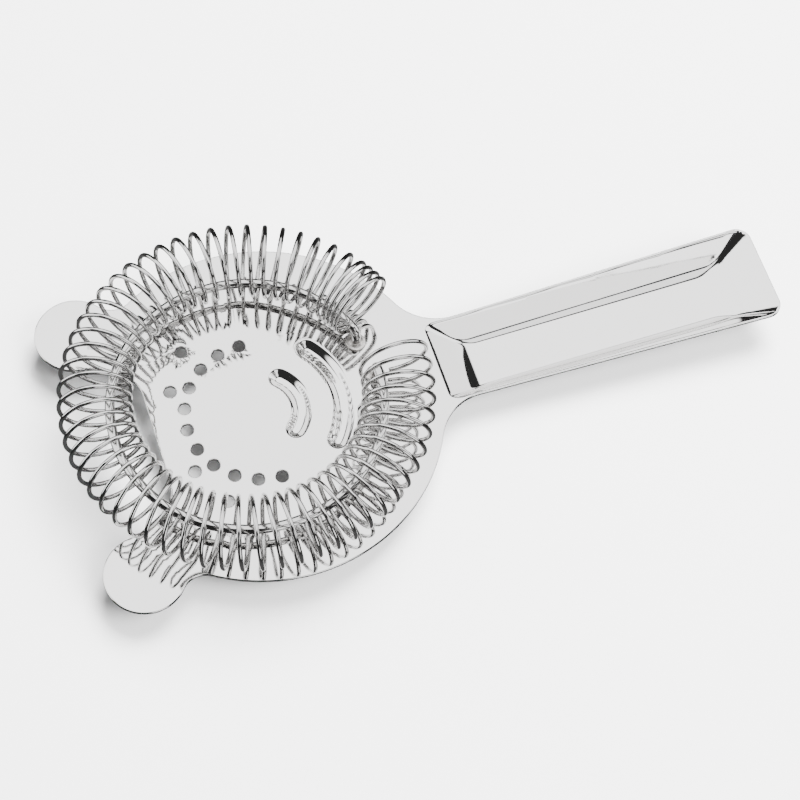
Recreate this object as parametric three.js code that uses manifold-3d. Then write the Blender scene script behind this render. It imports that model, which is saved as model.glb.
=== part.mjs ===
// Hawthorne strainer: a pressed sheet-steel plate with two ears and a tray handle,
// and a coil spring strung on a round wire hoop that stands above the plate.
// Millimetres, +Z up. The origin is the plate's centre, on the face that carries the spring.
// +X runs along the handle.
import * as THREE from "three";
import { mergeVertices } from "three/addons/utils/BufferGeometryUtils.js";
import Module from "manifold-3d";

const wasm = await Module();
wasm.setup();

// Sheet
const SHEET = 1.2;
const PLATE_R = 49;
const RIM_STEPS = 48;

// Ears that rest on the rim of the glass, either side of the front gap
const EAR_R = 10.8;
const EAR_REACH = 55.5;
const EAR_ANGLE = 40.7;
const EAR_FILLET = 6;

// Gap at the front, between the ears: a chord whose corners turn forward
const GAP_X = -29.2;
const GAP_HALF = 13;
const GAP_SIDE_HALF = 25.2;
const GAP_SIDE_X = -41.6;
const GAP_CORNER = 6;

// Holes: a half ring towards the front, and four outside it
const HOLE_R = 1.7;
const HOLE_RING = { x: -0.5, r: 20.2, pitch: 18, each_side: 5 };
const OUTER_HOLES = [{ r: 25.2, angle: 29 }, { r: 28.0, angle: 55 }];

// Pressed beads, concentric arcs on the handle side
const BEAD_DEPTH = 1.7;
const BEAD_HALF_WIDTH = 3.2;
const BEADS = [{ r: 10.6, half_span: 48 }, { r: 22.0, half_span: 40 }];

// Handle: neck, then a tray pressed away from the spring
const NECK_FILLET = 15;
const NECK_ROOT_X = 40;
const NECK_ROOT_INSET = 0.5;
const HANDLE_END_X = 146.4;
const HANDLE_HALF = 12.4;
const HANDLE_SPREAD = 2.2;
const HANDLE_CORNER = 4.2;
const HANDLE_RISE = 0.035;
const TRAY = { depth: 8.4, floor_half: 6.3, front_x: 49.5, floor_front_x: 60, floor_end_x: 134.5, rim: 0.5 };
// Each long wall is steep down to this share of the depth, then eases off to the floor
const WALL_BEND = { along: 0.7, depth: 0.83 };

// Cross-sections of the handle: where they stand, and the points on each as shares of its half width
const HANDLE_STATIONS = [
  NECK_ROOT_X, 44.4, 46, 47.8, TRAY.front_x, 51.5, 53.5, 55.5, 57.8, TRAY.floor_front_x, 75, 90, 105, 120,
  TRAY.floor_end_x, 137.5, 140, 142.4, 144.2, 145.4, 146, HANDLE_END_X,
];
const HANDLE_SHARES = [1, 0.965, 0.86, 0.75, 0.63, 0.56, 0.45, 0.25, 0];

// Hoop of round wire, its two ends turned down to the plate
const RING_X = -3.9;
const HOOP = { r: 36.2, z: 6.4, wire_r: 1.3, bend: 2.6, from: 19.5, to: 362 };
const HOOP_STATION_PITCH = 9;
const GAP_TO_PLATE = 0.3;
const GAP_TO_WIRE = 0.3;
const WELD = { reach: 2.7, height: 1.1, shoulder: 0.25, sides: 14 };

// Spring: a coil bent round into a ring, strung on the hoop
const COIL = {
  ring_r: 39.7, z: 12.5, r: 9.5, wire_r: 0.62,
  from: 23, to: 360, turns: 59, bunched_turns: 4, bunched_pitch: 2.8, steps_per_turn: 12,
};

const STEEL = { color: 0xe4e2e1, metalness: 1, roughness: 0.12 };
const SPRING_STEEL = { color: 0xd8d6d6, metalness: 1, roughness: 0.2 };
const WELD_STEEL = { color: 0xb9b5b0, metalness: 1, roughness: 0.4 };

const rad = (degrees) => THREE.MathUtils.degToRad(degrees);
const polar = (r, degrees, x = 0) => [x + r * Math.cos(rad(degrees)), r * Math.sin(rad(degrees))];

// --- closed meshes and booleans ---

function closed(geometry) {
  const bare = geometry.index ? geometry.toNonIndexed() : geometry.clone();
  bare.deleteAttribute("normal");
  bare.deleteAttribute("uv");
  return mergeVertices(bare, 1e-4);
}

function solid(geometry) {
  const merged = closed(geometry);
  return new wasm.Manifold(new wasm.Mesh({
    numProp: 3,
    vertProperties: Float32Array.from(merged.attributes.position.array),
    triVerts: Uint32Array.from(merged.index.array),
  }));
}

function geometryOf(body) {
  const mesh = body.getMesh();
  const geometry = new THREE.BufferGeometry();
  geometry.setAttribute("position", new THREE.BufferAttribute(mesh.vertProperties, 3));
  geometry.setIndex(new THREE.BufferAttribute(mesh.triVerts, 1));
  return geometry;
}

function slab(shape, bottom, top, curveSegments = 10) {
  const geometry = new THREE.ExtrudeGeometry(shape, {
    depth: top - bottom, bevelEnabled: false, curveSegments,
  });
  return solid(geometry.translate(0, 0, bottom));
}

function disc(x, y, r, bottom, top, sides) {
  const geometry = new THREE.CylinderGeometry(r, r, top - bottom, sides);
  return solid(geometry.rotateX(Math.PI / 2).translate(x, y, (top + bottom) / 2));
}

// --- plate ---

// The web that rounds the corner between an ear and the plate's rim, on the handle side of the ear
function earFillet(side) {
  const near = PLATE_R + EAR_FILLET;
  const far = EAR_R + EAR_FILLET;
  const turn = Math.acos((near ** 2 + EAR_REACH ** 2 - far ** 2) / (2 * near * EAR_REACH));
  const centreAngle = 180 - EAR_ANGLE - THREE.MathUtils.radToDeg(turn);
  const ear = new THREE.Vector2(...polar(EAR_REACH, 180 - EAR_ANGLE));
  const centre = new THREE.Vector2(...polar(near, centreAngle));
  const onRim = new THREE.Vector2(...polar(PLATE_R, centreAngle));
  const onEar = ear.clone().sub(centre).setLength(EAR_FILLET).add(centre);
  const start = onRim.clone().sub(centre).angle();
  const end = onEar.clone().sub(centre).angle();
  const web = new THREE.Shape();
  web.moveTo(...polar(PLATE_R - EAR_FILLET, centreAngle));
  web.lineTo(onRim.x, onRim.y);
  web.absarc(centre.x, centre.y, EAR_FILLET, start, end, true);
  web.lineTo(ear.x, ear.y);
  web.closePath();
  const points = web.getPoints(6).map((p) => new THREE.Vector2(p.x, side * p.y));
  return new THREE.Shape(points);
}

function frontGap() {
  const gap = new THREE.Shape();
  gap.moveTo(GAP_X, -GAP_HALF);
  gap.lineTo(GAP_X, GAP_HALF);
  gap.quadraticCurveTo(GAP_X, GAP_HALF + GAP_CORNER, GAP_X - GAP_CORNER, GAP_HALF + 1.5 * GAP_CORNER);
  gap.lineTo(GAP_SIDE_X, GAP_SIDE_HALF);
  gap.lineTo(-PLATE_R - 1, GAP_SIDE_HALF + 1);
  gap.lineTo(-PLATE_R - 1, -GAP_SIDE_HALF - 1);
  gap.lineTo(GAP_SIDE_X, -GAP_SIDE_HALF);
  gap.lineTo(GAP_X - GAP_CORNER, -GAP_HALF - 1.5 * GAP_CORNER);
  gap.quadraticCurveTo(GAP_X, -GAP_HALF - GAP_CORNER, GAP_X, -GAP_HALF);
  return gap;
}

// An arc-shaped slot outline with round ends
function beadOutline({ r, half_span }, half) {
  const a = rad(half_span);
  const outline = new THREE.Shape();
  outline.absarc(0, 0, r + half, -a, a, false);
  outline.absarc(...polar(r, half_span), half, a, a + Math.PI, false);
  outline.absarc(0, 0, r - half, a, -a, true);
  outline.absarc(...polar(r, -half_span), half, -a + Math.PI, -a + 2 * Math.PI, false);
  return outline;
}

function holeCentres() {
  const { x, r, pitch, each_side } = HOLE_RING;
  const centres = [];
  for (let i = -each_side; i <= each_side; i += 1) centres.push(polar(r, 180 + i * pitch, x));
  for (const hole of OUTER_HOLES) {
    for (const side of [-1, 1]) centres.push(polar(hole.r, 180 + side * hole.angle));
  }
  return centres;
}

// --- handle ---

function handleHalfWidth(x) {
  const centreY = HANDLE_HALF + NECK_FILLET;
  const centreX = Math.sqrt((PLATE_R + NECK_FILLET) ** 2 - centreY ** 2);
  const rootX = (centreX * PLATE_R) / (PLATE_R + NECK_FILLET);
  if (x <= rootX) return (centreY * PLATE_R) / (PLATE_R + NECK_FILLET) - NECK_ROOT_INSET;
  if (x < centreX) return centreY - Math.sqrt(NECK_FILLET ** 2 - (centreX - x) ** 2);
  const straight = HANDLE_HALF + (HANDLE_SPREAD * (x - centreX)) / (HANDLE_END_X - centreX);
  const into = Math.max(0, x - (HANDLE_END_X - HANDLE_CORNER));
  return straight - (HANDLE_CORNER - Math.sqrt(HANDLE_CORNER ** 2 - into ** 2));
}

const ramp = (value, from, to) => THREE.MathUtils.clamp((value - from) / (to - from), 0, 1);

function wallDepth(t) {
  const { along, depth } = WALL_BEND;
  return Math.min((t * depth) / along, depth + ((t - along) * (1 - depth)) / (1 - along));
}

// The sheet's upper face: 0 along the neck and the rim, -depth on the tray's floor
function handleTop(x, y) {
  const half = HANDLE_HALF + HANDLE_SPREAD * ramp(x, TRAY.floor_front_x, HANDLE_END_X);
  const across = wallDepth(ramp(half - TRAY.rim - Math.abs(y), 0, half - TRAY.rim - TRAY.floor_half));
  const front = ramp(x, TRAY.front_x, TRAY.floor_front_x);
  const end = ramp(HANDLE_END_X - TRAY.rim - x, 0, HANDLE_END_X - TRAY.rim - TRAY.floor_end_x);
  const rise = HANDLE_RISE * Math.max(0, x - TRAY.floor_front_x);
  return rise - TRAY.depth * Math.min(across, front, end);
}

// A sheet lofted from cross-sections along the handle
function handleSheet() {
  const shares = [...HANDLE_SHARES, ...HANDLE_SHARES.slice(0, -1).reverse().map((s) => -s)];
  const rows = HANDLE_STATIONS.map((x) => {
    const half = handleHalfWidth(x);
    const top = shares.map((s) => new THREE.Vector3(x, s * half, handleTop(x, s * half)));
    const bottom = top.map((p) => p.clone().setZ(p.z - SHEET)).reverse();
    return [...top, ...bottom];
  });
  const count = rows[0].length;
  const positions = [];
  const face = (...corners) => corners.forEach((p) => positions.push(p.x, p.y, p.z));
  for (let i = 0; i + 1 < rows.length; i += 1) {
    for (let j = 0; j < count; j += 1) {
      const k = (j + 1) % count;
      face(rows[i][j], rows[i][k], rows[i + 1][k]);
      face(rows[i][j], rows[i + 1][k], rows[i + 1][j]);
    }
  }
  const strips = shares.length - 1;
  for (let j = 0; j < strips; j += 1) {
    const below = count - 1 - j;
    for (const [row, flip] of [[rows[0], false], [rows.at(-1), true]]) {
      const quad = [row[j], row[below], row[below - 1], row[j + 1]];
      if (flip) quad.reverse();
      face(quad[0], quad[1], quad[2]);
      face(quad[0], quad[2], quad[3]);
    }
  }
  const geometry = new THREE.BufferGeometry();
  geometry.setAttribute("position", new THREE.Float32BufferAttribute(positions, 3));
  return solid(geometry);
}

function strainerPlate() {
  let body = disc(0, 0, PLATE_R, -SHEET, 0, RIM_STEPS);
  for (const side of [-1, 1]) {
    const [x, y] = polar(EAR_REACH, 180 + side * EAR_ANGLE);
    body = body.add(disc(x, y, EAR_R, -SHEET, 0, 24));
    body = body.add(slab(earFillet(side), -SHEET, 0));
  }
  body = body.subtract(slab(frontGap(), -SHEET - 1, 1, 5));
  for (const bead of BEADS) {
    body = body.add(slab(beadOutline(bead, BEAD_HALF_WIDTH), -BEAD_DEPTH - SHEET, -SHEET / 2, 6));
    body = body.subtract(slab(beadOutline(bead, BEAD_HALF_WIDTH - SHEET), -BEAD_DEPTH, 1, 6));
  }
  body = body.add(handleSheet());
  for (const [x, y] of holeCentres()) body = body.subtract(disc(x, y, HOLE_R, -SHEET - 1, 1, 12));
  return geometryOf(body);
}

// --- wire pieces ---

function wire(points, wireR, steps, sides) {
  const section = new THREE.Shape();
  for (let i = 0; i < sides; i += 1) {
    const a = (2 * Math.PI * i) / sides;
    if (i === 0) section.moveTo(wireR, 0);
    else section.lineTo(wireR * Math.cos(a), wireR * Math.sin(a));
  }
  section.closePath();
  const path = new THREE.CatmullRomCurve3(points, false, "centripetal");
  return closed(new THREE.ExtrudeGeometry(section, { steps, extrudePath: path, bevelEnabled: false }));
}

function hoop() {
  const { r, z, wire_r, bend, from, to } = HOOP;
  const at = (degrees, height) => new THREE.Vector3(...polar(r, degrees, RING_X), height);
  const bendAngle = THREE.MathUtils.radToDeg(bend / r);
  const points = [at(from, GAP_TO_PLATE), at(from, (z - bend) / 2), at(from, z - bend)];
  const midBend = 1 - Math.SQRT1_2;
  points.push(at(from + midBend * bendAngle, z - midBend * bend));
  const lastStation = to - bendAngle - HOOP_STATION_PITCH / 2;
  for (let a = from + bendAngle; a < lastStation; a += HOOP_STATION_PITCH) points.push(at(a, z));
  points.push(at(to - bendAngle, z), at(to - midBend * bendAngle, z - midBend * bend));
  points.push(at(to, z - bend), at(to, (z - bend) / 2), at(to, GAP_TO_PLATE));
  return wire(points, wire_r, 84, 8);
}

function weldBead() {
  const inner = HOOP.wire_r + GAP_TO_WIRE;
  const { reach, height, shoulder } = WELD;
  const profile = [[inner, 0], [reach, 0], [reach - shoulder, height / 2], [inner, height], [inner, 0]];
  const points = profile.map((p) => new THREE.Vector2(...p));
  return closed(new THREE.LatheGeometry(points, WELD.sides).rotateX(Math.PI / 2));
}

// The coil starts and ends underneath, and its first turns lie close together
function coilPath() {
  const { ring_r, z, r, from, to, turns, bunched_turns, bunched_pitch, steps_per_turn } = COIL;
  const openPitch = (to - from - bunched_turns * bunched_pitch) / (turns - bunched_turns);
  const steps = turns * steps_per_turn;
  const points = [];
  for (let i = 0; i <= steps; i += 1) {
    const turn = i / steps_per_turn;
    const bunched = Math.min(turn, bunched_turns);
    const along = from + bunched * bunched_pitch + (turn - bunched) * openPitch;
    const round = -2 * Math.PI * turn - Math.PI / 2;
    const [x, y] = polar(ring_r + r * Math.cos(round), along, RING_X);
    points.push(new THREE.Vector3(x, y, z + r * Math.sin(round)));
  }
  return points;
}

function piece(name, geometry, look) {
  const mesh = new THREE.Mesh(geometry, new THREE.MeshStandardMaterial(look));
  mesh.name = name;
  return mesh;
}

const strainer = new THREE.Group();
strainer.add(piece("strainer_plate", strainerPlate(), STEEL));
strainer.add(piece("wire_hoop", hoop(), STEEL));
for (const [side, angle] of [["left", HOOP.from], ["right", HOOP.to]]) {
  const weld = piece(`hoop_weld_${side}`, weldBead(), WELD_STEEL);
  weld.position.set(...polar(HOOP.r, angle, RING_X), GAP_TO_PLATE);
  strainer.add(weld);
}
const coilSteps = COIL.turns * COIL.steps_per_turn;
strainer.add(piece("coil_spring", wire(coilPath(), COIL.wire_r, coilSteps, 4), SPRING_STEEL));

export default strainer;
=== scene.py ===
"""A hawthorne strainer in polished steel: a pressed sheet, a wire hoop with two welds, and a coil spring.
Metres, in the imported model's frame: +X along the handle, +Z on the spring side, z = 0 on the plate's face."""

import math

import bmesh
import bpy
import numpy as np
from mathutils import Matrix, Vector
from mathutils.geometry import delaunay_2d_cdt


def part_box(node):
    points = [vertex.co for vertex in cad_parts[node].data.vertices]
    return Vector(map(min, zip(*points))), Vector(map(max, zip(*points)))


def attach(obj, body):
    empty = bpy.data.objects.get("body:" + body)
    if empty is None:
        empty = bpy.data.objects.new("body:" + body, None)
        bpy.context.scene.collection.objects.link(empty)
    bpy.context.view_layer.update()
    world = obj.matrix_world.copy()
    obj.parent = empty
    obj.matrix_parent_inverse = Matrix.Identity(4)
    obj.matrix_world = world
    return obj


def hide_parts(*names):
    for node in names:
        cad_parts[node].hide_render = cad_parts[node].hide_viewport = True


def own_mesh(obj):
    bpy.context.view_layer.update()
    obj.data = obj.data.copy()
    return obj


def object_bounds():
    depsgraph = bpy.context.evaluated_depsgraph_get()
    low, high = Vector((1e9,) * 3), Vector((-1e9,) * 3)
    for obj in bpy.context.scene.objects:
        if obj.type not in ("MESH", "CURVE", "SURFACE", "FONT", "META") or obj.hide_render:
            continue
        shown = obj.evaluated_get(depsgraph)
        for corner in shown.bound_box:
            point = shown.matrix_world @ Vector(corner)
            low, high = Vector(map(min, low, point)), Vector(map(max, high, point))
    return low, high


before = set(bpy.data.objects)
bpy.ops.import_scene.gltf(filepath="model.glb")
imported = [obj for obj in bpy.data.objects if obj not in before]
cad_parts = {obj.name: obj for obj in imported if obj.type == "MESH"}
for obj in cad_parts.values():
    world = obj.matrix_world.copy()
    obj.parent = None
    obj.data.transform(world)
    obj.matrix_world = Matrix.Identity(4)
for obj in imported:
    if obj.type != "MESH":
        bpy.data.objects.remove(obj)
cad_box = [list(corner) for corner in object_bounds()]

MM = 0.001

# --- sizes, in millimetres, taken from the frame where it holds them ---
plate_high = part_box("strainer_plate")[1] / MM

SHEET = 1.2
EDGE_ROUND = 0.3
PLATE_R = plate_high.y
EAR_R, EAR_REACH, EAR_ANGLE, EAR_FILLET = 10.8, 55.5, 40.7, 6.0
GAP_X, GAP_HALF, GAP_SIDE_HALF, GAP_SIDE_X, GAP_CORNER = -29.2, 13.0, 25.2, -41.6, 6.0
GAP_CORNER_STRETCH = 1.5  # the gap's corner runs this many times as far across as forwards
HOLE_R = 1.7
HOLE_RING_X, HOLE_RING_R, HOLE_PITCH, HOLES_EACH_SIDE = -0.5, 20.2, 18.0, 5
OUTER_HOLES = ((25.2, 29.0), (28.0, 55.0))  # radius, degrees from the gap
BEAD_DEPTH, BEAD_HALF_WIDTH = 1.7, 3.2
BEADS = ((10.6, 48.0), (22.0, 40.0))  # radius, half span in degrees
BEAD_SLOPE = 0.85  # the share of a bead's half width that slopes

HANDLE_END_X = plate_high.x
HANDLE_HALF, HANDLE_SPREAD, HANDLE_CORNER, HANDLE_RISE, NECK_FILLET = 12.4, 2.2, 4.2, 0.035, 15.0
TRAY_DEPTH, TRAY_FLOOR_HALF, TRAY_RIM = 8.4, 6.3, 0.5
TRAY_FRONT_X, TRAY_FLOOR_FRONT_X, TRAY_FLOOR_END_X = 49.5, 60.0, 134.5
WALL_BEND_ALONG, WALL_BEND_DEPTH = 0.7, 0.83  # each long wall is steep down to here, then eases off
# How much of the tray's depth its rounded bends take up: along the walls, at the ends, where the two meet,
# and where the walls meet the rim
WALL_BLEND, END_BLEND, CORNER_BLEND, RIM_BLEND = 0.05, 0.4, 0.35, 0.12

RING_X = -3.9
HOOP_R, HOOP_Z, HOOP_WIRE_R, HOOP_BEND, HOOP_FROM, HOOP_TO = 36.2, 6.4, 1.3, 2.6, 19.5, 362.0
COIL_RING_R, COIL_Z, COIL_R, COIL_WIRE_R = 39.7, 12.5, 9.33, 0.6
COIL_FROM, COIL_TO, COIL_TURNS, BUNCHED_TURNS, BUNCHED_PITCH = 23.0, 360.0, 59, 4, 2.8
FOOT_SHARE = 0.4  # the hoop's feet start this share of the wire's radius above the gap to the plate
WELD_REACH, WELD_HEIGHT, GAP_TO_PLATE = 2.7, 1.1, 0.3
WELD_GAP, WELD_TOE_INSET, WELD_TOE_HEIGHT, WELD_CREST = 0.05, 0.08, 0.16, 0.97
WELD_SWELLS = ((3, 0.035), (7, 0.02))  # waves round the weld, and how far each swells it

# --- how finely the meshes are made, in millimetres or in steps ---
SMALL_ARC_STEP, NECK_STEP, LONG_STEP, HOLE_STEP = 0.4, 0.8, 1.0, 0.35
TRAY_STEP_ALONG, TRAY_STEP_ACROSS, TRAY_LEAD_IN, TRAY_END_MARGIN = 0.7, 0.5, 1.5, 0.6
BEAD_RING_STEP, BEAD_STEP_ALONG, BEAD_SIDE_MARGIN, BEAD_END_MARGIN = 0.4, 0.5, 0.4, 0.6
PAST_LAST = 0.01  # keeps a range's last value in it
GUARD = 0.25  # the mesh points inside the handle stay this far from its flat face's edge
HOLE_EDGE_SHARE = 0.9  # nothing nearer a hole than this share of its rounded edge is sheet
SAME_POINT = 0.00001
EDGE_SHARES = (0.5, 1.0)  # of the quarter turn from a flat face to the sheet's side
HOOP_SIDES, HOOP_STEPS, BEND_STEPS, FOOT_POINTS = 24, 180, 8, 5
COIL_SIDES, COIL_STEPS_PER_TURN = 12, 40
WIRE_END_REACH, WIRE_END_SHARE = 0.35, 0.7  # a wire's rounded end, as shares of its radius
WELD_SIDES, WELD_PROFILE_STEPS = 48, 8


def polar(r, degrees, x=0.0):
    a = math.radians(degrees)
    return Vector((x + r * math.cos(a), r * math.sin(a)))


def arc(centre, r, start, end, step_mm=0.5):
    """Points on an arc from start to end, in radians, with both ends."""
    count = max(3, int(abs(end - start) * r / step_mm))
    angles = np.linspace(start, end, count + 1)
    return [Vector((centre[0] + r * math.cos(a), centre[1] + r * math.sin(a))) for a in angles]


def straight(start, end, step_mm=1.0):
    count = max(1, int((end - start).length / step_mm))
    return [start.lerp(end, i / count) for i in range(count + 1)]


def curve_through(start, pull, end, count=8):
    """A quadratic curve, drawn towards pull."""
    shares = [i / count for i in range(count + 1)]
    return [start * (1 - t) ** 2 + pull * 2 * t * (1 - t) + end * t * t for t in shares]


def tidy_loop(points, least=0.12):
    """A closed outline without points that lie on each other."""
    kept = []
    for p in points:
        if not kept or (p - kept[-1]).length > least:
            kept.append(p)
    if (kept[0] - kept[-1]).length < least:
        kept.pop()
    return kept


# --- the sheet's outline ---

def handle_half_width(x):
    straight_half = HANDLE_HALF + HANDLE_SPREAD * (x - NECK_END.x) / (HANDLE_END_X - NECK_END.x)
    into = max(0.0, x - (HANDLE_END_X - HANDLE_CORNER))
    return straight_half - (HANDLE_CORNER - math.sqrt(max(0.0, HANDLE_CORNER**2 - into**2)))


NECK_CENTRE_Y = HANDLE_HALF + NECK_FILLET
NECK_CENTRE = Vector((math.sqrt((PLATE_R + NECK_FILLET) ** 2 - NECK_CENTRE_Y**2), NECK_CENTRE_Y))
NECK_END = Vector((NECK_CENTRE.x, HANDLE_HALF))


def half_outline():
    """The outline's far half, from the middle of the front gap round to the middle of the handle's end."""
    gap_top = Vector((GAP_X, GAP_HALF))
    gap_turn = Vector((GAP_X - GAP_CORNER, GAP_HALF + GAP_CORNER_STRETCH * GAP_CORNER))
    points = straight(Vector((GAP_X, 0.0)), gap_top)
    points += curve_through(gap_top, Vector((GAP_X, GAP_HALF + GAP_CORNER)), gap_turn)
    ear = polar(EAR_REACH, 180 - EAR_ANGLE)
    ear_inner = Vector((GAP_SIDE_X, GAP_SIDE_HALF)) - ear
    near, far = PLATE_R + EAR_FILLET, EAR_R + EAR_FILLET
    turn = math.degrees(math.acos((near**2 + EAR_REACH**2 - far**2) / (2 * near * EAR_REACH)))
    web_angle = 180 - EAR_ANGLE - turn
    web = polar(near, web_angle)
    on_ear = (ear - web).normalized()
    ear_start = math.atan2(ear_inner.y, ear_inner.x) + 2 * math.pi
    ear_end = math.atan2(-on_ear.y, -on_ear.x)
    points += straight(gap_turn, ear + ear_inner.normalized() * EAR_R)
    points += arc(ear, EAR_R, ear_start, ear_end)
    web_start = math.atan2(on_ear.y, on_ear.x)
    web_end = math.radians(web_angle) - math.pi
    points += arc(web, EAR_FILLET, web_start, web_end, SMALL_ARC_STEP)
    neck_angle = math.atan2(NECK_CENTRE.y, NECK_CENTRE.x)
    points += arc((0, 0), PLATE_R, math.radians(web_angle), neck_angle, LONG_STEP)
    points += arc(NECK_CENTRE, NECK_FILLET, neck_angle - math.pi, -math.pi / 2, NECK_STEP)
    corner_x = HANDLE_END_X - HANDLE_CORNER
    points += straight(NECK_END, Vector((corner_x, handle_half_width(corner_x))), LONG_STEP)
    corner = Vector((corner_x, handle_half_width(corner_x) - HANDLE_CORNER))
    points += arc(corner, HANDLE_CORNER, math.pi / 2, 0.0, SMALL_ARC_STEP)
    points += straight(Vector((HANDLE_END_X, corner.y)), Vector((HANDLE_END_X, 0.0)))
    return points


def outline():
    far = half_outline()
    near = [Vector((p.x, -p.y)) for p in reversed(far)]
    return tidy_loop(far + near)


def hole_centres():
    """The ring of holes round the gap side of the plate, and two more on each side outside it."""
    centres = [
        polar(HOLE_RING_R, 180 + i * HOLE_PITCH, HOLE_RING_X)
        for i in range(-HOLES_EACH_SIDE, HOLES_EACH_SIDE + 1)
    ]
    return centres + [polar(r, 180 + side * a) for r, a in OUTER_HOLES for side in (-1, 1)]


# --- the sheet's shape ---

def smooth_least(a, b, blend):
    """The lesser of two values, with the edge between them rounded off."""
    h = np.clip(0.5 + 0.5 * (b - a) / blend, 0, 1)
    return b * (1 - h) + a * h - blend * h * (1 - h)


def smooth_step(t):
    t = np.clip(t, 0, 1)
    return t * t * (3 - 2 * t)


def tray_share(x, y):
    """1 on the tray's floor and 0 on its rim and along the neck."""
    along = (x - TRAY_FLOOR_FRONT_X) / (HANDLE_END_X - TRAY_FLOOR_FRONT_X)
    rim = HANDLE_HALF + HANDLE_SPREAD * np.clip(along, 0, 1) - TRAY_RIM
    wall = (rim - np.abs(y)) / (rim - TRAY_FLOOR_HALF)
    eased = WALL_BEND_DEPTH + (wall - WALL_BEND_ALONG) * (1 - WALL_BEND_DEPTH) / (1 - WALL_BEND_ALONG)
    across = smooth_least(wall * WALL_BEND_DEPTH / WALL_BEND_ALONG, eased, WALL_BLEND)
    front = (x - TRAY_FRONT_X) / (TRAY_FLOOR_FRONT_X - TRAY_FRONT_X)
    end = (HANDLE_END_X - TRAY_RIM - x) / (HANDLE_END_X - TRAY_RIM - TRAY_FLOOR_END_X)
    ends = smooth_least(smooth_least(front, end, END_BLEND), np.ones_like(x), END_BLEND)
    lowest = smooth_least(across, ends, WALL_BLEND + CORNER_BLEND * np.clip(1 - ends, 0, 1))
    return np.maximum(lowest, 0) * smooth_step(lowest / RIM_BLEND + 0.5)


def bead_share(x, y, r, half_span):
    """1 along the middle of a bead and 0 outside it."""
    angle = np.degrees(np.arctan2(y, x))
    held = np.radians(np.clip(angle, -half_span, half_span))
    away = np.hypot(x - r * np.cos(held), y - r * np.sin(held))
    return smooth_step((BEAD_HALF_WIDTH - away) / (BEAD_HALF_WIDTH * BEAD_SLOPE))


def sheet_height(x, y):
    """The height of the sheet's spring side."""
    x, y = np.asarray(x, float), np.asarray(y, float)
    height = HANDLE_RISE * np.maximum(0, x - TRAY_FLOOR_FRONT_X)
    height = height - TRAY_DEPTH * tray_share(x, y)
    for r, half_span in BEADS:
        height = height - BEAD_DEPTH * bead_share(x, y, r, half_span)
    return height


def inset(loop, distance):
    """A closed outline moved to its left by a distance."""
    moved = []
    for i, p in enumerate(loop):
        along = (loop[(i + 1) % len(loop)] - loop[i - 1]).normalized()
        moved.append(p + Vector((-along.y, along.x)) * distance)
    return moved


def inner_points():
    """Mesh points where the sheet is curved: a grid over the tray, and rings over the beads."""
    points = []
    half = HANDLE_HALF + HANDLE_SPREAD
    for x in np.arange(TRAY_FRONT_X - TRAY_LEAD_IN, HANDLE_END_X - TRAY_END_MARGIN, TRAY_STEP_ALONG):
        for y in np.arange(-half, half + PAST_LAST, TRAY_STEP_ACROSS):
            points.append((x, y))
    for r, half_span in BEADS:
        reach = half_span + math.degrees((BEAD_HALF_WIDTH + BEAD_END_MARGIN) / r)
        outwards = BEAD_HALF_WIDTH + BEAD_SIDE_MARGIN
        for ring in np.arange(r - outwards, r + outwards + PAST_LAST, BEAD_RING_STEP):
            count = int(math.radians(2 * reach) * ring / BEAD_STEP_ALONG)
            points += [tuple(polar(ring, a)) for a in np.linspace(-reach, reach, count)]
    return points


def inside(point, loop):
    """Whether a point is inside a closed outline."""
    x, y = point
    held = False
    for i, a in enumerate(loop):
        b = loop[i - 1]
        if (a.y > y) != (b.y > y) and x < (b.x - a.x) * (y - a.y) / (b.y - a.y) + a.x:
            held = not held
    return held


def flat_mesh(loops):
    """Points and triangles of the sheet's flat pattern, and the place of each loop's points among them."""
    rim = loops[0]
    face_loops = [inset(loop, EDGE_ROUND) for loop in loops]
    guard = inset(rim, EDGE_ROUND + GUARD)
    points, edges = [], []
    for loop in face_loops:
        start = len(points)
        points += loop
        edges += [(start + i, start + (i + 1) % len(loop)) for i in range(len(loop))]
    fixed = len(points)
    points += [Vector(p) for p in inner_points() if p[0] < TRAY_FLOOR_FRONT_X or inside(p, guard)]
    flat, _, triangles, sources = delaunay_2d_cdt(points, edges, [], 0, SAME_POINT)[:4]
    centres = hole_centres()
    kept = []
    for t in triangles:
        middle = sum((flat[i] for i in t), Vector((0, 0))) / 3
        in_hole = any((middle - c).length < HOLE_R + EDGE_ROUND * HOLE_EDGE_SHARE for c in centres)
        if not in_hole and inside(middle, face_loops[0]):
            kept.append(t)
    place = {i: k for k, made_from in enumerate(sources) for i in made_from if i < fixed}
    return flat, kept, place


def edge_ring(mesh, loop, ring, share, towards):
    """A ring of the rounded edge: a share of a quarter turn from a face's ring, down (-1) or up (1)."""
    out = inset(loop, EDGE_ROUND * (1 - math.sin(share * math.pi / 2)))
    drop = EDGE_ROUND * (1 - math.cos(share * math.pi / 2))
    return [mesh.verts.new((p.x, p.y, v.co.z + towards * drop)) for p, v in zip(out, ring)]


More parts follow.
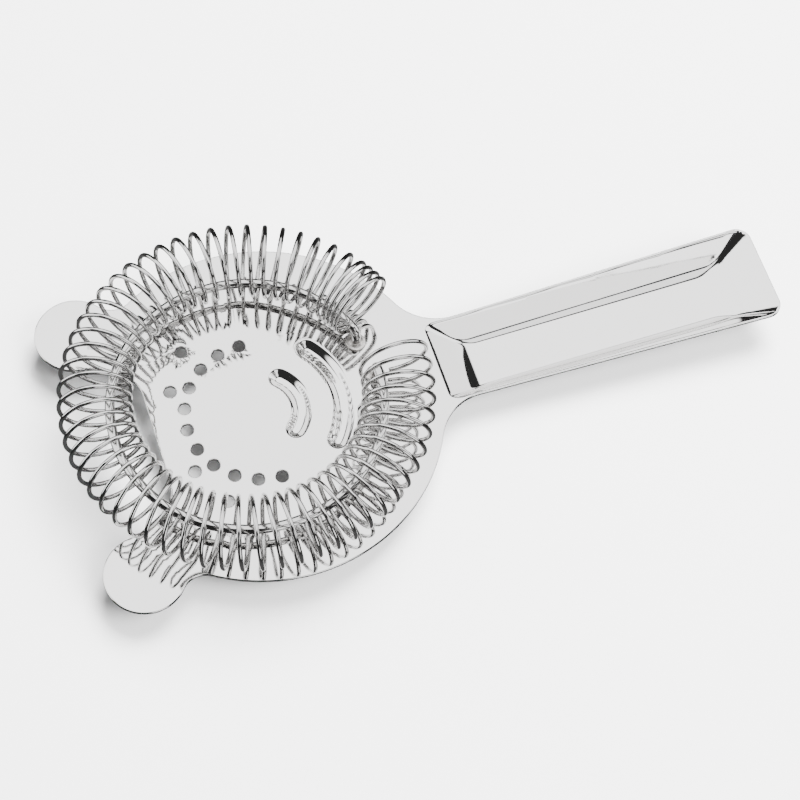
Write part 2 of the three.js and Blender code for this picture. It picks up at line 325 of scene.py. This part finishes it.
def sheet_piece():
    """The plate, ears, neck and tray as one sheet with rounded edges."""
    rim = outline()
    area = sum(a.x * b.y - b.x * a.y for a, b in zip(rim, rim[1:] + rim[:1]))
    if area < 0:
        rim.reverse()
    holes = [tidy_loop(arc(c, HOLE_R, 0, -2 * math.pi, HOLE_STEP)[:-1]) for c in hole_centres()]
    loops = [rim] + holes
    flat, triangles, place = flat_mesh(loops)
    xs = np.array([p.x for p in flat])
    ys = np.array([p.y for p in flat])
    tops = sheet_height(xs, ys)
    mesh = bmesh.new()
    top = [mesh.verts.new((x, y, z)) for x, y, z in zip(xs, ys, tops)]
    bottom = [mesh.verts.new((x, y, z - SHEET)) for x, y, z in zip(xs, ys, tops)]
    for a, b, c in triangles:
        mesh.faces.new((top[a], top[b], top[c]))
        mesh.faces.new((bottom[c], bottom[b], bottom[a]))
    start = 0
    for loop in loops:
        count = len(loop)
        top_ring = [top[place[start + i]] for i in range(count)]
        bottom_ring = [bottom[place[start + i]] for i in range(count)]
        rings = [top_ring]
        rings += [edge_ring(mesh, loop, top_ring, share, -1) for share in EDGE_SHARES]
        rings += [edge_ring(mesh, loop, bottom_ring, share, 1) for share in reversed(EDGE_SHARES)]
        rings.append(bottom_ring)
        for upper, lower in zip(rings, rings[1:]):
            for i in range(count):
                j = (i + 1) % count
                mesh.faces.new((upper[j], upper[i], lower[i], lower[j]))
        start += count
    loose = [v for v in mesh.verts if not v.link_faces]
    bmesh.ops.delete(mesh, geom=loose, context="VERTS")
    return finished(mesh, "polished_sheet")


def finished(mesh, name):
    """A smooth object in metres from a mesh in millimetres."""
    bmesh.ops.recalc_face_normals(mesh, faces=mesh.faces)
    mesh.transform(Matrix.Scale(MM, 4))
    for face in mesh.faces:
        face.smooth = True
    data = bpy.data.meshes.new(name)
    mesh.to_mesh(data)
    mesh.free()
    piece = bpy.data.objects.new(name, data)
    bpy.context.scene.collection.objects.link(piece)
    return piece


# --- wire ---

def wire_piece(name, path, radius, sides):
    """A round wire along a path, with rounded ends."""
    points = [Vector(p) for p in path]
    mesh = bmesh.new()
    side = None
    rings = []
    last = len(points) - 1
    for i, p in enumerate(points):
        along = (points[min(i + 1, last)] - points[max(i - 1, 0)]).normalized()
        if side is None:
            side = along.orthogonal().normalized()
        side = (side - along * side.dot(along)).normalized()
        across = along.cross(side)
        rings.append((p, along, side.copy(), across))

    def ring(p, side, across, r):
        angles = (2 * math.pi * k / sides for k in range(sides))
        return [mesh.verts.new(p + side * (r * math.cos(a)) + across * (r * math.sin(a))) for a in angles]

    loops = []
    p, along, side, across = rings[0]
    loops.append(ring(p - along * radius * WIRE_END_REACH, side, across, radius * WIRE_END_SHARE))
    loops += [ring(p, side, across, radius) for p, along, side, across in rings]
    p, along, side, across = rings[-1]
    loops.append(ring(p + along * radius * WIRE_END_REACH, side, across, radius * WIRE_END_SHARE))
    for a, b in zip(loops, loops[1:]):
        for k in range(sides):
            m = (k + 1) % sides
            mesh.faces.new((a[k], a[m], b[m], b[k]))
    mesh.faces.new(list(reversed(loops[0])))
    mesh.faces.new(loops[-1])
    return finished(mesh, name)


def hoop_path():
    """Up from one foot, round the ring the long way, and down to the other foot."""
    bend = math.degrees(HOOP_BEND / HOOP_R)

    def at(angle, z):
        p = polar(HOOP_R, angle, RING_X)
        return (p.x, p.y, z)

    foot = GAP_TO_PLATE + HOOP_WIRE_R * FOOT_SHARE
    straight_top = HOOP_Z - HOOP_BEND
    turn = [k * math.pi / (2 * BEND_STEPS) for k in range(1, BEND_STEPS + 1)]
    path = [at(HOOP_FROM, z) for z in np.linspace(foot, straight_top, FOOT_POINTS)]
    path += [at(HOOP_FROM + bend * (1 - math.cos(t)), HOOP_Z - HOOP_BEND * (1 - math.sin(t))) for t in turn]
    path += [at(a, HOOP_Z) for a in np.linspace(HOOP_FROM + bend, HOOP_TO - bend, HOOP_STEPS + 1)[1:]]
    path += [at(HOOP_TO - bend * (1 - math.sin(t)), HOOP_Z - HOOP_BEND * (1 - math.cos(t))) for t in turn]
    return path + [at(HOOP_TO, z) for z in np.linspace(straight_top, foot, FOOT_POINTS)[1:]]


def coil_path():
    """Round the ring from one end to the other, with the first turns lying close together."""
    pitch = (COIL_TO - COIL_FROM - BUNCHED_TURNS * BUNCHED_PITCH) / (COIL_TURNS - BUNCHED_TURNS)
    path = []
    for i in range(COIL_TURNS * COIL_STEPS_PER_TURN + 1):
        turn = i / COIL_STEPS_PER_TURN
        bunched = min(turn, BUNCHED_TURNS)
        along = COIL_FROM + bunched * BUNCHED_PITCH + (turn - bunched) * pitch
        round_it = -2 * math.pi * turn - math.pi / 2
        p = polar(COIL_RING_R + COIL_R * math.cos(round_it), along, RING_X)
        path.append((p.x, p.y, COIL_Z + COIL_R * math.sin(round_it)))
    return path


def weld_piece(name, angle):
    """A fillet of weld metal round a foot of the hoop, slightly uneven."""
    inner = HOOP_WIRE_R + WELD_GAP
    profile = [(inner, 0.0), (WELD_REACH, 0.0), (WELD_REACH - WELD_TOE_INSET, WELD_TOE_HEIGHT)]
    for k in range(1, WELD_PROFILE_STEPS):
        t = k / WELD_PROFILE_STEPS * math.pi / 2
        profile.append((WELD_REACH - (WELD_REACH - inner) * math.sin(t) * WELD_CREST,
                        WELD_HEIGHT - (WELD_HEIGHT - WELD_TOE_HEIGHT) * math.cos(t)))
    profile.append((inner, WELD_HEIGHT))
    centre = polar(HOOP_R, angle, RING_X)
    (slow, slow_swell), (quick, quick_swell) = WELD_SWELLS
    mesh = bmesh.new()
    rings = []
    for k in range(WELD_SIDES):
        a = 2 * math.pi * k / WELD_SIDES
        swell = 1 + slow_swell * math.sin(slow * a + angle) + quick_swell * math.sin(quick * a)
        rings.append([
            mesh.verts.new((
                centre.x + (inner + (r - inner) * swell) * math.cos(a),
                centre.y + (inner + (r - inner) * swell) * math.sin(a),
                GAP_TO_PLATE + z,
            ))
            for r, z in profile
        ])
    count = len(profile)
    for k in range(WELD_SIDES):
        for i in range(count):
            j = (i + 1) % count
            a, b = rings[k], rings[(k + 1) % WELD_SIDES]
            mesh.faces.new((a[i], b[i], b[j], a[j]))
    return finished(mesh, name)


# --- materials ---

CLOUD_SCALE, CLOUD_DETAIL, CLOUD_TINT = 55.0, 4.0, 0.965
SCRATCH_STRETCH, SCRATCH_DETAIL, SCRATCH_DEPTH = (1.0, 9.0, 9.0), 6.0, 0.00002
NOISE_LOW, NOISE_HIGH = 0.3, 0.7
GLOSSIEST, DULLEST = 0.7, 1.4  # shares of a metal's roughness
FLOOR_WHITE, FLOOR_ROUGHNESS, FLOOR_SHINE = 0.96, 0.9, 0.1


def steel(name, colour, roughness, scratch_scale, bump):
    """Polished metal: a faint cloud in its colour, uneven gloss and fine polishing scratches."""
    material = bpy.data.materials.new(name)
    material.use_nodes = True
    nodes, links = material.node_tree.nodes, material.node_tree.links
    shader = nodes["Principled BSDF"]
    shader.inputs["Metallic"].default_value = 1.0
    place = nodes.new("ShaderNodeTexCoord")

    cloud = nodes.new("ShaderNodeTexNoise")
    cloud.inputs["Scale"].default_value = CLOUD_SCALE
    cloud.inputs["Detail"].default_value = CLOUD_DETAIL
    links.new(place.outputs["Object"], cloud.inputs["Vector"])

    tint = nodes.new("ShaderNodeMix")
    tint.data_type = "RGBA"
    tint.inputs["A"].default_value = (*(c * CLOUD_TINT for c in colour), 1)
    tint.inputs["B"].default_value = (*colour, 1)
    links.new(cloud.outputs["Fac"], tint.inputs["Factor"])
    links.new(tint.outputs["Result"], shader.inputs["Base Color"])

    stretch = nodes.new("ShaderNodeMapping")
    stretch.inputs["Scale"].default_value = SCRATCH_STRETCH
    links.new(place.outputs["Object"], stretch.inputs["Vector"])
    scratches = nodes.new("ShaderNodeTexNoise")
    scratches.inputs["Scale"].default_value = scratch_scale
    scratches.inputs["Detail"].default_value = SCRATCH_DETAIL
    links.new(stretch.outputs["Vector"], scratches.inputs["Vector"])

    gloss = nodes.new("ShaderNodeMapRange")
    gloss.inputs["From Min"].default_value = NOISE_LOW
    gloss.inputs["From Max"].default_value = NOISE_HIGH
    gloss.inputs["To Min"].default_value = roughness * GLOSSIEST
    gloss.inputs["To Max"].default_value = roughness * DULLEST
    links.new(scratches.outputs["Fac"], gloss.inputs["Value"])
    links.new(gloss.outputs["Result"], shader.inputs["Roughness"])

    relief = nodes.new("ShaderNodeBump")
    relief.inputs["Strength"].default_value = bump
    relief.inputs["Distance"].default_value = SCRATCH_DEPTH
    links.new(scratches.outputs["Fac"], relief.inputs["Height"])
    links.new(relief.outputs["Normal"], shader.inputs["Normal"])
    return material


def floor_material():
    material = bpy.data.materials.new("pale_floor")
    material.use_nodes = True
    shader = material.node_tree.nodes["Principled BSDF"]
    shader.inputs["Base Color"].default_value = (FLOOR_WHITE, FLOOR_WHITE, FLOOR_WHITE, 1)
    shader.inputs["Roughness"].default_value = FLOOR_ROUGHNESS
    shader.inputs["Specular IOR Level"].default_value = FLOOR_SHINE
    return material


# --- the stage ---

FLOOR_HALF, FLOOR_CLEARANCE = 9.0, 0.0004
CAMERA_AZIMUTH, CAMERA_ELEVATION, CAMERA_ROLL = -24.72, 63.56, 7.06
CAMERA_DISTANCE, CAMERA_LENS, CAMERA_SENSOR = 0.5552, 92.84, 36.0
CAMERA_NEAR, CAMERA_FAR = 0.01, 20.0
CAMERA_TARGET = Vector((0.03627, -0.0080, 0.0))
# Soft white panels round the object: direction, degrees from it where it starts to fade and is gone, level
PANELS = (
    ((0.12, 0.34, 0.93), 38, 43, 1.0),
    ((0.186, -0.72, 0.666), 12, 15, 0.7),
    ((0.186, -0.98, 0.03), 17, 20, 1.0),
    ((-0.881, 0.405, 0.218), 26, 34, 1.0),
    ((-0.486, 0.476, 0.733), 12, 16, 1.0),
    ((0.91, -0.15, 0.38), 20, 26, 1.0),
    ((0.0, 0.0, -1.0), 45, 75, 0.035),
)
PANEL_LEVEL, ROOM_LEVEL, PANEL_SHARE_ON_FLOOR = 3.2, 0.035, 0.1
AREA_LIGHTS = (("key", (0.45, 0.45, 1.1), 80), ("fill", (0.6, -0.6, 1.0), 40))  # name, place, power
LIGHT_TARGET, LIGHT_SIZE = (0.02, 0, 0), 0.7


def camera():
    """Looks down on the object from its near left, rolled a little about its own axis."""
    a, e = math.radians(CAMERA_AZIMUTH), math.radians(CAMERA_ELEVATION)
    back = Vector((math.cos(e) * math.sin(a), -math.cos(e) * math.cos(a), math.sin(e)))
    right = Vector((math.cos(a), math.sin(a), 0))
    up = back.cross(right)
    roll = math.radians(CAMERA_ROLL)
    right, up = (right * math.cos(roll) + up * math.sin(roll),
                 up * math.cos(roll) - right * math.sin(roll))
    data = bpy.data.cameras.new("camera")
    data.lens, data.sensor_width = CAMERA_LENS, CAMERA_SENSOR
    data.clip_start, data.clip_end = CAMERA_NEAR, CAMERA_FAR
    made = bpy.data.objects.new("camera", data)
    bpy.context.scene.collection.objects.link(made)
    turned = Matrix((right, up, back)).transposed().to_4x4()
    made.matrix_world = Matrix.Translation(CAMERA_TARGET + back * CAMERA_DISTANCE) @ turned
    bpy.context.scene.camera = made


def floor(height):
    mesh = bpy.data.meshes.new("floor")
    h = FLOOR_HALF
    corners = [(-h, -h, height), (h, -h, height), (h, h, height), (-h, h, height)]
    mesh.from_pydata(corners, [], [(0, 1, 2, 3)])
    made = bpy.data.objects.new("floor", mesh)
    made.data.materials.append(floor_material())
    made.visible_glossy = False
    bpy.context.scene.collection.objects.link(made)


def area_light(name, place, power):
    data = bpy.data.lights.new(name, "AREA")
    data.shape, data.size, data.energy = "SQUARE", LIGHT_SIZE, power
    made = bpy.data.objects.new(name, data)
    made.location = place
    made.rotation_euler = (Vector(LIGHT_TARGET) - Vector(place)).to_track_quat("-Z", "Y").to_euler()
    made.visible_glossy = False
    bpy.context.scene.collection.objects.link(made)


def panel(nodes, links, place, direction, full, faded, level):
    """The panel's level towards it, and 0 away from it."""
    facing = nodes.new("ShaderNodeVectorMath")
    facing.operation = "DOT_PRODUCT"
    facing.inputs[1].default_value = Vector(direction).normalized()
    links.new(place.outputs["Generated"], facing.inputs[0])
    fade = nodes.new("ShaderNodeMapRange")
    fade.interpolation_type = "SMOOTHSTEP"
    fade.inputs["From Min"].default_value = math.cos(math.radians(faded))
    fade.inputs["From Max"].default_value = math.cos(math.radians(full))
    fade.inputs["To Max"].default_value = level
    links.new(facing.outputs["Value"], fade.inputs["Value"])
    return fade.outputs["Result"]


def studio():
    """Soft white panels round a dark room, so that polished steel reflects both bright and dark."""
    world = bpy.data.worlds.new("studio")
    world.use_nodes = True
    nodes, links = world.node_tree.nodes, world.node_tree.links
    place = nodes.new("ShaderNodeTexCoord")
    total = None
    for entry in PANELS:
        share = panel(nodes, links, place, *entry)
        if total is not None:
            both = nodes.new("ShaderNodeMath")
            both.operation = "MAXIMUM"
            links.new(total, both.inputs[0])
            links.new(share, both.inputs[1])
            share = both.outputs["Value"]
        total = share
    level = nodes.new("ShaderNodeMapRange")
    level.inputs["To Min"].default_value = ROOM_LEVEL
    level.inputs["To Max"].default_value = PANEL_LEVEL
    links.new(total, level.inputs["Value"])
    # The area lights light the floor, so the panels hardly do: the ground under the holes stays dark
    rays = nodes.new("ShaderNodeLightPath")
    dimmed = nodes.new("ShaderNodeMapRange")
    dimmed.inputs["To Min"].default_value = 1.0
    dimmed.inputs["To Max"].default_value = PANEL_SHARE_ON_FLOOR
    links.new(rays.outputs["Is Diffuse Ray"], dimmed.inputs["Value"])
    strength = nodes.new("ShaderNodeMath")
    strength.operation = "MULTIPLY"
    links.new(level.outputs["Result"], strength.inputs[0])
    links.new(dimmed.outputs["Result"], strength.inputs[1])
    links.new(strength.outputs["Value"], nodes["Background"].inputs["Strength"])
    nodes["Background"].inputs["Color"].default_value = (1, 1, 1, 1)
    bpy.context.scene.world = world
    for light in AREA_LIGHTS:
        area_light(*light)


# --- the model ---

camera()
studio()
floor(cad_box[0][2] - FLOOR_CLEARANCE)

sheet_steel = steel("polished_sheet_steel", (0.80, 0.795, 0.79), 0.05, 260.0, 0.12)
spring_steel = steel("bright_spring_wire", (0.54, 0.535, 0.53), 0.09, 900.0, 0.25)
hoop_steel = steel("polished_hoop_wire", (0.54, 0.535, 0.53), 0.08, 600.0, 0.2)
weld_steel = steel("weld_metal", (0.62, 0.60, 0.58), 0.38, 700.0, 0.8)

sheet = sheet_piece()
sheet.data.materials.append(sheet_steel)
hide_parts("strainer_plate")
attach(sheet, "strainer")

ring = wire_piece("round_wire_hoop", hoop_path(), HOOP_WIRE_R, HOOP_SIDES)
ring.data.materials.append(hoop_steel)
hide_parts("wire_hoop")
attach(ring, "strainer")

for side_name, foot_angle in (("left", HOOP_FROM), ("right", HOOP_TO)):
    weld = weld_piece(f"weld_fillet_{side_name}", foot_angle)
    weld.data.materials.append(weld_steel)
    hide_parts(f"hoop_weld_{side_name}")
    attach(weld, "strainer")

# The ring is pushed in at the front and its handle side stays put, so it moves with its body and gets
# shorter by as much.
coil = wire_piece("spring_wire_coil", coil_path(), COIL_WIRE_R, COIL_SIDES)
coil.data.materials.append(spring_steel)
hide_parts("coil_spring")
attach(coil, "spring")
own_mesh(coil)
